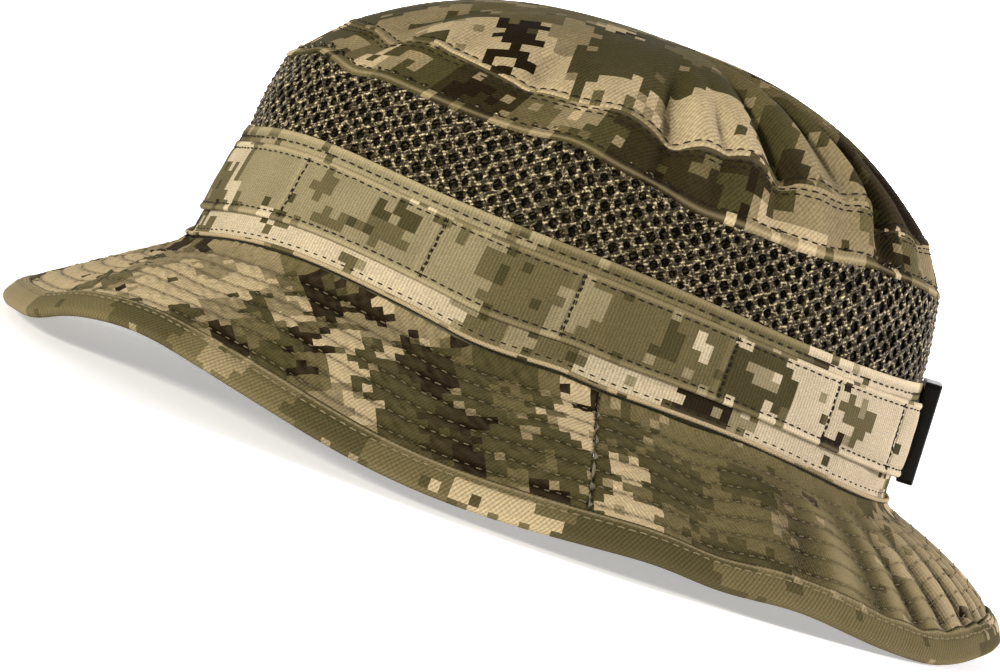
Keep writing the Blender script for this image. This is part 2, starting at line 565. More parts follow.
def threads(name, lines, pitch=STITCH_PITCH, length=STITCH_LENGTH, radius=THREAD_RADIUS, seed=11):
    """Separate stitches along (points, normals) lines; each is a short arched strand."""
    along = np.array([-0.5, -0.43, -0.2, 0.2, 0.43, 0.5])
    girth = np.array([0.15, 0.8, 1.0, 1.0, 0.8, 0.15])
    arch = np.array([-1.9, -0.6, 0.35, 0.35, -0.6, -1.9])
    sides = 6
    turns = np.linspace(0, 2 * np.pi, sides, endpoint=False)
    dice = np.random.default_rng(seed)
    found = []
    for path, normal in lines:
        reach = lengths(path)
        count = max(1, int(reach[-1] / pitch))
        centres = (np.arange(count) + 0.5) * reach[-1] / count
        spots = centres[:, None] + along * length * dice.uniform(0.9, 1.06, (count, 1))
        line = np.stack([np.interp(spots, reach, path[:, k]) for k in range(3)], -1)
        up = unit(np.stack([np.interp(centres, reach, normal[:, k]) for k in range(3)], -1))
        side = np.cross(unit(line[:, -1] - line[:, 0]), up)
        sway = dice.uniform(-0.12, 0.12, (count, 1))
        line = line + (side * sway)[:, None] + up[:, None] * (arch * radius)[:, None]
        ring = side[:, None] * np.cos(turns)[:, None] + up[:, None] * 0.85 * np.sin(turns)[:, None]
        found.append(line[:, :, None] + ring[:, None] * (girth * radius)[:, None, None])
    found = np.concatenate(found)
    size = len(along) * sides
    quads = []
    for step in range(len(along) - 1):
        for k in range(sides):
            a, b = step * sides + k, step * sides + (k + 1) % sides
            quads.append((a, b, b + sides, a + sides))
    starts = (np.arange(len(found)) * size)[:, None, None]
    faces = (starts + np.array(quads)).reshape(-1, 4).tolist()
    ends = np.array([range(sides)[::-1], range(size - sides, size)])
    faces += (starts + ends).reshape(-1, sides).tolist()
    return mesh_object(name, found.reshape(-1, 3), faces)


def sew(name, lines, material, node=None, **sizes):
    finish_piece(threads(name, lines, **sizes), [material], node)


# ---- materials
class Nodes:
    """Short way to write a material's nodes."""

    def __init__(self, name, roughness, sheen=0.0, specular=0.5):
        self.material = bpy.data.materials.new(name)
        self.material.use_nodes = True
        self.tree = self.material.node_tree
        self.shader = self.tree.nodes["Principled BSDF"]
        for label, value in (("Roughness", roughness), ("Sheen Weight", sheen),
                             ("Specular IOR Level", specular)):
            self.shader.inputs[label].default_value = value
        self.cloth = self.add("ShaderNodeUVMap", uv_map="cloth").outputs[0]
        self.wear = self.add("ShaderNodeAttribute", attribute_name="wear").outputs["Fac"]

    def add(self, kind, inputs=(), **settings):
        node = self.tree.nodes.new(kind)
        for label, value in settings.items():
            setattr(node, label, value)
        for place, value in dict(inputs).items():
            if isinstance(value, bpy.types.NodeSocket):
                self.tree.links.new(value, node.inputs[place])
            else:
                node.inputs[place].default_value = value
        return node

    def math(self, operation, *values, clamp=False):
        return self.add("ShaderNodeMath", enumerate(values), operation=operation,
                        use_clamp=clamp).outputs[0]

    def scale(self, value, factor, shift, clamp=False):
        return self.math("MULTIPLY_ADD", value, factor, shift, clamp=clamp)

    def vector(self, operation, *values):
        node = self.add("ShaderNodeVectorMath", enumerate(values), operation=operation)
        return node.outputs["Value" if operation in ("LENGTH", "DOT_PRODUCT") else "Vector"]

    def noise(self, place, size, seed=0.0, detail=2.0, roughness=0.5):
        """Noise whose blobs are about size millimetres across."""
        inputs = {"Vector": place, "W": seed, "Scale": 1.0 / size, "Detail": detail, "Roughness": roughness}
        return self.add("ShaderNodeTexNoise", inputs, noise_dimensions="4D").outputs[0]

    def mix(self, share, one, two, blend="MIX"):
        one, two = ((*value, 1.0) if isinstance(value, tuple) else value for value in (one, two))
        node = self.add("ShaderNodeMix", {0: share, 6: one, 7: two}, data_type="RGBA", blend_type=blend)
        return node.outputs[2]

    def tint(self, colour, light):
        return self.mix(1.0, colour, light, "MULTIPLY")

    def over(self, value, limit):
        return self.math("GREATER_THAN", value, limit)

    def ripple(self, direction, pitch):
        """Even ridges across a direction of the cloth map, from -1 to 1."""
        length = math.hypot(*direction)
        wave = [2.0 * math.pi / pitch * part / length for part in direction]
        return self.math("SINE", self.vector("DOT_PRODUCT", self.cloth, (*wave, 0.0)))

    def finish(self, colour, height=None, depth=0.0001, strength=1.0):
        self.tree.links.new(colour, self.shader.inputs["Base Color"])
        if height is not None:
            bump = self.add("ShaderNodeBump", {"Height": height, "Distance": depth,
                                               "Strength": strength})
            self.tree.links.new(bump.outputs[0], self.shader.inputs["Normal"])
        return self.material


def camouflage(nodes, seed, patches, tones, limits):
    """Pixel camouflage: layers of ragged blobs on a grid of squares, then chosen patches."""
    cell, block = (nodes.vector("SNAP", nodes.cloth, (side,) * 3) for side in (PIXEL, 2 * PIXEL))
    colour = tones["mid"]
    layers = zip(("khaki", "olive", "sand", "dark"), (30.0, 26.0, 24.0, 22.0), limits)
    for k, (tone, size, limit) in enumerate(layers):
        start = seed + 3.7 * k
        broad = nodes.noise(cell, size, start, 0.0)
        ragged = nodes.noise(block, 8.0, start + 1.3, 0.0)
        small = nodes.noise(cell, 2.0 * PIXEL, start + 2.1, 0.0)
        total = nodes.scale(small, 0.10, nodes.scale(ragged, 0.26, broad))
        colour = nodes.mix(nodes.over(total, limit), colour, tones[tone])
    stray = nodes.scale(nodes.noise(cell, 4.5, seed + 21.0, 1.0), 2.0, -1.0)
    for along, across, wide, tall, tone in patches:
        shrink, shift = (1.0 / wide, 1.0 / tall, 0.0), (-along / wide, -across / tall, 0.0)
        away = nodes.vector("LENGTH", nodes.vector("MULTIPLY_ADD", cell, shrink, shift))
        away = nodes.scale(stray, RAGGED / min(wide, tall), away)
        colour = nodes.mix(nodes.math("LESS_THAN", away, 1.0), colour, tones[tone])
    for shift, tone in ((31.0, "khaki"), (35.0, "olive")):
        odd = nodes.noise(cell, 0.7 * PIXEL, seed + shift, 0.0)
        colour = nodes.mix(nodes.over(odd, 0.735), colour, tones[tone])
    return colour


def woven(name, seed, patches=(), weave="twill", contrast=0.16, limits=(0.72, 0.73, 0.79, 0.82)):
    """Printed cloth with its weave, uneven dye and lighter worn ridges."""
    nodes = Nodes(name, roughness=0.9, sheen=0.008, specular=0.03)
    colour = camouflage(nodes, seed, patches, TONES[weave], limits)
    ridges, yarns = (nodes.ripple(direction, pitch) for direction, pitch in WEAVES[weave])
    fibre = nodes.noise(nodes.cloth, 0.55, seed, 2.0, 0.7)
    cloud = nodes.noise(nodes.cloth, 14.0, seed + 40.0, 3.0, 0.6)
    uneven = nodes.math("MULTIPLY", ridges, nodes.scale(fibre, 1.6, 0.2))
    light = nodes.scale(uneven, contrast, 0.12)
    for part, factor in ((yarns, 0.3 * contrast), (fibre, 1.30), (cloud, 0.50), (nodes.wear, 0.5)):
        light = nodes.scale(part, factor, light)
    colour = nodes.tint(colour, nodes.math("MAXIMUM", light, 0.03))
    bleach = nodes.math("MULTIPLY", nodes.wear, 0.30, clamp=True)
    colour = nodes.mix(bleach, colour, EDGE_TONE)
    height = nodes.scale(ridges, 0.35, nodes.scale(yarns, 0.15, fibre))
    return nodes.finish(colour, height, 0.00012, 0.9)


def plain_cloth(name, rgb, pitch=0.8, spread=0.5):
    """Cloth of one colour, with uneven dye."""
    nodes = Nodes(name, roughness=0.9, sheen=0.1, specular=0.25)
    ridges, yarns = nodes.ripple((1.0, 0.0), pitch), nodes.ripple((0.0, 1.0), pitch)
    fibre = nodes.noise(nodes.cloth, 0.6, 3.0, 2.0, 0.7)
    cloud = nodes.noise(nodes.cloth, 12.0, 8.0, 3.0)
    light = 0.5
    for part, factor in ((ridges, 0.08), (yarns, 0.08), (fibre, spread), (cloud, spread)):
        light = nodes.scale(part, factor, light)
    colour = nodes.tint(rgb, light)
    height = nodes.math("ADD", nodes.math("ADD", ridges, yarns), fibre)
    return nodes.finish(colour, height, 0.00012, 0.6)


def thread_material(name, rgb):
    """Twisted sewing thread, darker in places."""
    nodes = Nodes(name, roughness=0.7, specular=0.15)
    place = nodes.add("ShaderNodeTexCoord").outputs["Object"]
    spots = nodes.noise(place, 0.0009, 2.0, 2.0)
    return nodes.finish(nodes.tint(rgb, nodes.scale(spots, 1.2, 0.4)), spots, 0.00008, 0.6)


def net_material(name, bright, dull, specular=0.14):
    """Knitted glossy yarn: many small glints between dull loops, dark inside the holes."""
    nodes = Nodes(name, roughness=0.45, specular=specular)
    loops = nodes.noise(nodes.cloth, 1.2, 6.0, 2.0, 0.7)
    cloud = nodes.noise(nodes.cloth, 9.0, 2.0, 2.0)
    share = nodes.scale(loops, 8.0, -4.0, clamp=True)
    share = nodes.math("MULTIPLY", share, nodes.scale(cloud, 1.2, 0.3, clamp=True))
    colour = nodes.mix(share, dull, bright)
    yarn = nodes.ripple((0.5, 0.87), 1.1)
    light = nodes.math("MULTIPLY", nodes.math("ADD", nodes.wear, 1.0), nodes.scale(yarn, 0.4, 0.75))
    return nodes.finish(nodes.tint(colour, light), nodes.scale(yarn, 0.3, loops), 0.0005, 1.0)


def plastic_material(name):
    """Black moulded plastic with a fine grain, and scuffs that are rougher and greyer."""
    nodes = Nodes(name, roughness=0.5, specular=0.22)
    place = nodes.add("ShaderNodeTexCoord").outputs["Object"]
    grain = nodes.noise(place, 0.0006, 1.0, 2.0)
    scuffs = nodes.noise(place, 0.006, 5.0, 4.0, 0.7)
    share = nodes.scale(scuffs, 4.0, -2.2, clamp=True)
    colour = nodes.mix(share, (0.005, 0.0045, 0.004), (0.018, 0.016, 0.014))
    rough = nodes.scale(share, 0.2, 0.45)
    nodes.tree.links.new(rough, nodes.shader.inputs["Roughness"])
    return nodes.finish(colour, nodes.scale(scuffs, 0.5, grain), 0.00006, 0.5)


def webbing_material(name):
    """Ribbed black webbing."""
    nodes = Nodes(name, roughness=0.7, sheen=0.1, specular=0.3)
    ribs, picks = nodes.ripple((0.0, 1.0), 1.3), nodes.ripple((1.0, 0.0), 0.7)
    fibre = nodes.noise(nodes.cloth, 0.5, 4.0, 2.0, 0.7)
    weave = nodes.math("MULTIPLY", ribs, picks)
    light = nodes.scale(fibre, 0.8, nodes.scale(weave, 0.25, 0.6))
    colour = nodes.tint((0.02, 0.018, 0.016), light)
    return nodes.finish(colour, nodes.math("ADD", weave, fibre), 0.0003, 0.8)


# ---- crown
def field(columns, shares, start=0.0, end=360.0):
    """Angles and shares of a grid: a row for each share, a column for each angle."""
    angles = np.linspace(start, end, columns, endpoint=end - start < 360.0)
    return np.meshgrid(angles, np.asarray(shares, float))


def seam_line(surface, angles, shares, turn=1.0, lift=0.0):
    """Points and outward normals of a line on a surface."""
    angles, shares = np.broadcast_arrays(np.asarray(angles, float), np.asarray(shares, float))
    place = surface(angles, shares)
    up = surface(angles, shares + 0.004) - surface(angles, shares - 0.004)
    around = surface(angles + 0.2, shares) - surface(angles - 0.2, shares)
    normal = unit(np.cross(up, around)) * turn
    return place + normal * lift, normal


def fading_folds(angle, inward):
    """Rise of the crown's folds, at a share of the way from the top seam to the middle."""
    total = 0.0 * angle
    swell = SEAM_HOLD + (1.0 - SEAM_HOLD) * np.clip(inward / FOLD_START, 0.0, 1.0) ** 0.7
    for centre, width, rise, reach in FOLDS:
        spread = width * (1.0 + 0.8 * inward)
        fade = bell(np.maximum(inward - FOLD_START, 0.0), reach)
        total = total + rise * crest(angle, centre + FOLD_DRIFT * inward, spread) * fade
    return total * swell


def seam_push(angle):
    """Shift of the top seam where the crown's folds meet it."""
    rise = fading_folds(angle, 0.0 * angle)[..., None]
    push = ring_normal("crown_seam", angle) * math.sin(SEAM_LEAN)
    push[..., 2] += math.cos(SEAM_LEAN)
    return push * rise


def dome_surface(angle, share):
    """Outer face of the dome: share 1 is at its seam and 0 is its middle."""
    half_width, half_length, centre_y, _ = RINGS["crown_seam"]
    seam = ring_height("crown_seam", angle)
    turn = np.radians(angle)
    height = seam + (DOME_TOP + FLOOR_LIFT - seam) * (1.0 - np.abs(share) ** DOME_POWER)
    place = np.stack([half_width * share * np.sin(turn),
                      centre_y + half_length * share * np.cos(turn), height], -1)
    inward = 1.0 - share
    slope = np.arctan2(math.tan(SEAM_LEAN) * np.abs(share) ** (DOME_POWER - 1.0), 1.0)
    normal = ring_normal("crown_seam", angle) * np.sin(slope)[..., None]
    normal[..., 2] += np.cos(slope)
    soft = waves(angle, 2.5 * inward, 21, 10, 34, 0.9) * np.clip(8.0 * inward, 0.15, 1.0)
    soft = soft * np.clip(1.15 * share, 0.0, 1.0) ** 2
    edge = inward * DOME_REACH
    rise = fading_folds(angle, inward) + soft
    rise = rise + 0.25 * bell(edge - 0.5, 0.7) - 0.35 * bell(edge - EDGE_INSET, 0.5)
    rise = rise + waves(angle, edge, 22, 9, 130, 0.35) * bell(edge - 3.5, 3.0)
    return place + normal * rise[..., None]


def panel_folds(angle, share):
    """Rise of the upright folds that the upper side panel has below the crown's folds."""
    return 1.1 * fading_folds(angle, 0.0 * angle) * arch(share) ** 0.7


def upper_surface(angle, share):
    """Outer face of the upper side panel, with grooves along its stitch rows."""
    edge = share * UPPER_TALL
    rise = waves(angle, 2.0 * share, 31, 9, 40, 0.55) * arch(share)
    rise = rise + panel_folds(angle, share)
    rise = rise + 0.4 * bell(edge - 0.1, 0.5) - 0.35 * bell(edge - EDGE_INSET, 0.45)
    for level in UPPER_ROWS[1:]:
        rise = rise - 0.4 * bell(edge - level * UPPER_TALL, 0.5)
    rise = rise + waves(angle, edge, 32, 9, 120, 0.25) * share
    reach = np.clip(share, 0.0, 1.1) ** 0.9
    return wall("net_high", "crown_seam", angle, share, rise) + seam_push(angle) * reach[..., None]


def net_surface(angle, share):
    """Wall of the net: it bellies out a little, and tucks in at both bindings."""
    belly = 0.7 * arch(share)
    belly = belly + waves(angle, share, 41, 8, 20, 0.6) * arch(share)
    tuck = 1.1 * bell(share + 0.03, 0.045) + 1.5 * bell(share - 1.03, 0.055)
    return wall("net_low", "net_high", angle, share, belly - tuck)


def lower_surface(angle, share):
    """Outer face of the lower side panel."""
    soft = waves(angle, share, 51, 8, 26, 0.25)
    edge = share * LOWER_TALL
    ridge = 0.35 * bell(edge - 0.4, 0.6) - 0.3 * bell(edge - SIDE_INSET, 0.5)
    return wall("brim_seam", "net_low", angle, share, soft + ridge)


def binding_surface(angle, share):
    """Folded strip over the net's lower edge: two soft ridges with a stitched groove."""
    edge = (share - BAND_HIGH) * LOWER_TALL
    rise = 0.75 + 0.3 * arch((share - BAND_HIGH) / 0.16)
    rise = rise - 0.4 * bell(edge - BINDING_INSET, 0.45) + waves(angle, share, 52, 8, 90, 0.1)
    return wall("brim_seam", "net_low", angle, share, rise)


def band_inner(angle):
    """Distance of the band's inner face from the wall: its ends stand off to clear the strap."""
    near = np.abs(turn_to(angle, 0.0))
    fade = np.clip((BAND_END_STITCH + 8.0 - near) / 12.0, 0.0, 1.0)
    return 0.2 + BAND_END_RISE * fade * fade * (3.0 - 2.0 * fade)


def band_surface(angle, share):
    """Outer face of the foliage band: it bulges a little between its tack lines."""
    stops = np.array((BAND_END_ANGLE - 8.0,) + TACKS + (360.0 + 8.0 - BAND_END_ANGLE,))
    turned = np.mod(angle, 360.0)
    slot = np.clip(np.searchsorted(stops, turned) - 1, 0, len(stops) - 2)
    along = np.clip((turned - stops[slot]) / (stops[slot + 1] - stops[slot]), 0.0, 1.0)
    up = (share - BAND_LOW) / (BAND_HIGH - BAND_LOW)
    bulge = arch(along) ** 0.55 * (0.25 + 0.75 * arch(up))
    edge = (0.5 - np.abs(up - 0.5)) * BAND_TALL
    rise = band_inner(angle) + BAND_THICK + BAND_LOOP_RISE * bulge
    rise = rise + 0.3 * bell(edge - 0.6, 0.7) - 0.3 * bell(edge - EDGE_INSET, 0.4)
    pinch = sum(crest(angle, tack, 0.45) for tack in TACKS)
    rise = rise - 0.4 * pinch + waves(angle, 3 * up, 53, 9, 60, 0.18)
    return wall("brim_seam", "net_low", angle, share, rise)


def ring_reach(name):
    """Lengths along a ring, for angles from -360 to 720 degrees."""
    angles = np.arange(-360.0, 720.5, 0.5)
    return angles, lengths(ring_point(name, angles))


def cloth_spots(patches, place_of):
    """Patches given by angle, share and sizes, moved to their places on a cloth map."""
    spots = []
    for angle, share, wide, tall, tone in patches:
        along, across = place_of(np.array([angle]), np.array([share]))[0]
        spots.append((along, across, wide, tall, tone))
    return spots


def strip_spots(points, angles, patches):
    """The same for a strip of the crown, whose cloth map runs straight."""
    reach = lengths(points[len(points) // 2])
    tall = lengths(points[:, points.shape[1] // 4])[-1]
    return cloth_spots(patches, lambda angle, share: np.stack(
        [np.interp(angle, angles[0], reach), tall * share], -1))


def build_dome():
    shares = np.concatenate([np.linspace(0.0, 0.07, 16), 0.07 + 0.905 * np.linspace(0, 1, 64)[1:] ** 1.15])
    angles, inward = field(CROWN_COLUMNS, shares)
    middle = below(dome_surface(angles, 1.0 - inward), CLOTH)
    wear = 0.1 * bell(inward * DOME_REACH - 0.5, 0.6) + 0.1 * fading_folds(angles, inward)
    top = dome_sheet("crown_top_cloth", middle, CLOTH, closed(middle)[..., 1::-1], wear)
    spots = cloth_spots(DOME_PATCHES, lambda angle, share: dome_surface(angle, share)[..., 1::-1])
    finish_piece(top, [woven("crown_print", 3.0, spots), LINING], "crown_top_panel")


def build_sides():
    """Upper and lower side panels, and the strip that binds the net's lower edge."""
    angles, shares = field(CROWN_COLUMNS, np.linspace(-0.07, 0.985, 34))
    outer = upper_surface(angles, shares)
    edge = shares * UPPER_TALL
    wear = 1.2 * bell(edge, 0.5) + 0.4 * bell((shares - 0.97) * UPPER_TALL, 0.8)
    wear = wear + 0.08 * fading_folds(angles, 0.0 * angles) * shares
    print_of = woven("upper_print", 8.0, strip_spots(outer, angles, UPPER_PATCHES))
    cloth_piece("upper_side_cloth", below(outer, CLOTH), CLOTH, "upper_side_panel", [print_of, LINING],
                wear=wear)

    angles, shares = field(CROWN_COLUMNS, np.linspace(0.0, 1.0, 26))
    outer = lower_surface(angles, shares)
    print_of = woven("lower_print", 15.0, strip_spots(outer, angles, LOWER_PATCHES), "rib")
    cloth_piece("lower_side_cloth", below(outer, CLOTH), CLOTH, "lower_side_panel", [print_of, LINING],
                wear=bell(shares * LOWER_TALL - 0.3, 0.7))

    angles, shares = field(CROWN_COLUMNS, np.linspace(BAND_HIGH - 0.01, 1.035, 14))
    outer = binding_surface(angles, shares)
    up = (shares - BAND_HIGH) * LOWER_TALL
    print_of = woven("binding_print", 19.0, strip_spots(outer, angles, NET_BINDING_PATCHES), "rib")
    cloth_piece("net_binding_cloth", below(outer, STRIP), STRIP, "mesh_lower_binding", [print_of, LINING],
                wear=0.9 * bell(up - 4.2, 0.8) + 0.4 * bell(up - 0.9, 0.6))


def build_band():
    """Foliage band, with rounded ends on both sides of the adjuster."""
    near_end = np.array([0.0, 0.08, 0.2, 0.36])
    first, last = BAND_END_ANGLE, 360.0 - BAND_END_ANGLE
    spread = np.linspace(first + 0.6, last - 0.6, 1000)
    turns = np.concatenate([first + near_end, spread, last - near_end[::-1]])
    angles, shares = np.meshgrid(turns, np.linspace(BAND_LOW, BAND_HIGH, 36))
    from_end = np.minimum(angles - first, last - angles) * 1.6
    rounding = np.sqrt(np.clip(1.0 - (1.0 - np.minimum(from_end / 0.8, 1.0)) ** 2, 0.08, 1.0))
    outer = band_surface(angles, shares)
    up = (0.5 - np.abs((shares - BAND_LOW) / (BAND_HIGH - BAND_LOW) - 0.5)) * BAND_TALL
    wear = 0.9 * bell(up - 0.3, 0.7) + 0.8 * bell(from_end, 1.2)
    wear = wear + sum(0.3 * crest(angles, tack + 1.0, 0.5) for tack in TACKS)
    print_of = woven("band_print", 27.0, strip_spots(outer, angles, BAND_PATCHES), "rib")
    cloth_piece("foliage_band_cloth", below(outer, BAND_THICK, False), BAND_THICK * rounding,
                "foliage_band", [print_of, LINING], False,
                wear=wear)


def net_cell():
    """Outline and hole of one cell of the net, and how high its yarn stands round the outline."""
    half = 0.5 * NET_PITCH
    rise = half * NET_ROW_SHARE
    top_x, side_x = NET_CELL[0] * half, NET_CELL[1] * half
    corners = [(side_x, 0.0), (top_x, rise), (-top_x, rise), (-side_x, 0.0), (-top_x, -rise), (top_x, -rise)]
    outline = []
    for one, two, parts in zip(corners, corners[1:] + corners[:1], (3, 1, 3, 3, 1, 3)):
        outline += [np.array(one) + (np.array(two) - one) * k / parts for k in range(parts)]
    outline = np.array(outline)
    aside = np.abs(outline[:, 1])
    knots = np.where(aside < 0.01, 1.0, np.where(aside > rise - 0.01, 0.3, -0.6))
    bearing = np.arctan2(outline[:, 1], outline[:, 0])
    pointed = (np.abs(np.cos(bearing)) ** 1.4 + np.abs(np.sin(bearing)) ** 1.4) ** (-1.0 / 1.4)
    hole = np.stack([0.46 * half * pointed * np.cos(bearing), 0.56 * half * pointed * np.sin(bearing)], -1)
    return outline, hole, knots


def net_grid(around_count, dice):
    """Points and faces of the net laid flat: cells of yarn whose neighbours share their edge."""
    outline, hole, knots = net_cell()
    sides = len(outline)
    across, up = np.meshgrid(np.arange(around_count), np.arange(NET_ROWS))
    rise = 0.5 * NET_PITCH * NET_ROW_SHARE
    centres = np.stack([(across + 0.5 * (up % 2)) * NET_PITCH, (up + 0.5) * rise], -1).reshape(-1, 2)
    hole = hole * dice.uniform(0.68, 1.12, (len(centres), 1, 1))
    hole = hole + dice.uniform(-0.14, 0.14, (len(centres), 1, 2))

    def ring(shape, level, jitter=0.0):
        flat = centres[:, None] + shape
        if jitter:
            flat = flat + dice.uniform(-jitter, jitter, (len(centres), 1, 2))
        return np.concatenate([flat, np.broadcast_to(level, flat.shape[:2])[..., None]], -1).reshape(-1, 3)

    points = np.concatenate([
        ring(outline, 0.30 + 0.24 * knots), ring(0.5 * (outline + hole), 0.24 + 0.08 * knots),
        ring(hole, -0.12, 0.12), ring(hole * 1.04, -0.42), ring(outline, -0.62)])
    step = len(centres) * sides
    own = np.arange(step).reshape(-1, sides)
    after = np.roll(own, -1, 1)
    quad = np.stack([own, own + step, after + step, after], -1).reshape(-1, 4)
    faces = np.concatenate([quad + k * step for k in range(len(points) // step - 1)])
    corners = points[faces][..., :2].reshape(-1, 2)
    key = np.round(points * NET_WELD).astype(int)
    key[:, 0] %= int(round(around_count * NET_PITCH * NET_WELD))
    _, first, same = np.unique(key, axis=0, return_index=True, return_inverse=True)
    return points[first], same.reshape(-1)[faces], corners


def build_net():
    """Knitted net with real holes, and the closed lining behind it."""
    turns, reach = ring_reach("net_low")
    start, end = np.interp((0.0, 360.0), turns, reach)
    around_count = int(round((end - start) / NET_PITCH))
    around, tall = around_count * NET_PITCH, NET_ROWS * 0.5 * NET_PITCH * NET_ROW_SHARE
    dice = np.random.default_rng(61)
    points, faces, corners = net_grid(around_count, dice)
    angles = np.interp(start + np.mod(points[:, 0], around) / around * (end - start), reach, turns)
    shares = -0.04 + 1.08 * points[:, 1] / tall
    surface, normal = seam_line(net_surface, angles, shares)
    bunch = dice.uniform(-0.07, 0.07, len(points))
    depth = np.clip((0.1 - points[:, 2]) / 0.35, 0.0, 0.96)
    level = (points[:, 2] + bunch) * (1.0 - 0.9 * bell(shares - 1.04, 0.04)) - 0.1
    net = mesh_object("net_yarn", surface + normal * level[:, None], faces.tolist(), corners, -depth)
    finish_piece(net, [net_material("net_yarn_gloss", NET_BRIGHT, NET_DULL)], "mesh_panel")

    angles, shares = field(720, np.linspace(-0.03, 1.03, 12))
    outer = net_surface(angles, shares)
    inset = 1.1 - 0.5 * bell(shares, 0.1) - 0.5 * bell(shares - 1, 0.1)
    lining = net_material("net_lining_knit", (0.075, 0.058, 0.028), (0.004, 0.003, 0.0015), 0.04)
    cloth_piece("net_lining", outer - outward(outer, True) * inset[..., None], 0.5, "mesh_backing",
                [lining, lining])


def build_crown_threads():
    full = np.linspace(0.0, 360.0, 1400)
    rows = [seam_line(upper_surface, full, level, lift=0.1) for level in UPPER_ROWS]
    rows.append(seam_line(dome_surface, full, 1.0 - EDGE_INSET / DOME_REACH, -1.0, 0.1))
    sew("crown_stitches", rows, THREAD, "crown_stitching")

    inner = np.linspace(BAND_END_ANGLE + 1.0, 359.0 - BAND_END_ANGLE, 1400)
    inset = EDGE_INSET / BAND_TALL * (BAND_HIGH - BAND_LOW)
    rows = [seam_line(band_surface, inner, level, lift=0.1)
            for level in (BAND_LOW + inset, BAND_HIGH - inset)]
    sew("band_edge_stitches", rows, THREAD, "band_stitching", pitch=2.7, length=2.0, seed=12)

    upright = np.linspace(BAND_LOW + 0.02, BAND_HIGH - 0.02, 60)
    wander = 0.1 * np.sin(upright * 40.0)
    rows = [seam_line(band_surface, tack + wander + side, upright, lift=0.1)
            for tack in TACKS for side in (-0.16, 0.16)]
    sew("band_tack_stitches", rows, THREAD, "band_tacks", pitch=1.8, length=1.55, radius=0.19, seed=13)

    rows = [seam_line(lower_surface, full, SIDE_INSET / LOWER_TALL, lift=0.1),
            seam_line(binding_surface, full, BAND_HIGH + BINDING_INSET / LOWER_TALL, lift=0.1)]
    sew("side_seam_stitches", rows, THREAD, seed=14)


def inner_strip(name, low, high, shares, inset, thick, material, node, seed=0):
    """Strip sewn inside the wall between two rings, at a depth under it."""
    angles, levels = field(480, shares)
    depth = waves(angles, levels, seed, 8, 40, 0.15) - inset
    if high == "crown_seam":
        depth = depth + panel_folds(angles, levels)
    outer = wall(low, high, angles, levels, depth)
    if high == "crown_seam":
        outer = outer + seam_push(angles) * levels[..., None] ** 0.9
    cloth_piece(name, below(outer, thick), thick, node, [material, material])


def build_inside():
    inner_strip("sweatband_cloth", "brim_seam", "net_low", np.linspace(0.03, 0.92, 20), 1.1, 1.1,
                SWEAT, "sweatband", seed=15)
    inner_strip("net_upper_tape", "net_high", "crown_seam", np.linspace(0.07, 0.5, 8), 1.1, 0.6,
                TAPE, "mesh_upper_tape", seed=14)
    inner_strip("crown_seam_tape_cloth", "net_high", "crown_seam", np.linspace(0.55, 0.9, 8), 1.6, 0.6,
                TAPE, "crown_seam_tape", seed=21)

    angles, levels = field(480, np.linspace(-3.5, -0.2, 8))
    outer = ring_point("brim_seam", angles, -2.4)
    outer[..., 2] += levels
    cloth_piece("brim_seam_tape", below(outer, 0.8), 0.7, "sweatband_tape", [TAPE, TAPE])


# ---- brim
def brim_surface(angle, share, seed=TOP_SEED, side=1.0):
    """Face of the brim's cloth: quilted between its rows, and drawn in at the side seams."""
    rise = TOP_LEVEL + quilting(angle, share, seed)
    for turn in (1.0, -1.0):
        seam = turn * (SIDE_SEAM + SEAM_SLANT * share)
        rise = rise - SIDE_SEAM_DIP * crest(angle, seam, SIDE_SEAM_WIDTH)
    return brim_middle(angle, share) + brim_normal(angle, share) * (side * rise)[..., None]


def under_surface(angle, share):
    return brim_surface(angle, share, UNDER_SEED, -1.0)


def brim_map(angles, shares, centre, twist):
    """Cloth map of a brim half, cut flat as part of a ring: its grain turns as it goes round."""
    turns, reach = ring_reach("brim_seam")
    along = np.interp(angles, turns, reach) - np.interp(centre, turns, reach)
    width = np.linalg.norm(ring_point("rim", angles) - ring_point("brim_seam", angles), axis=-1)
    radius = FLAT_RADIUS + shares * width
    bearing = along / FLAT_RADIUS + math.radians(twist)
    return np.stack([radius * np.sin(bearing), radius * np.cos(bearing)], -1)


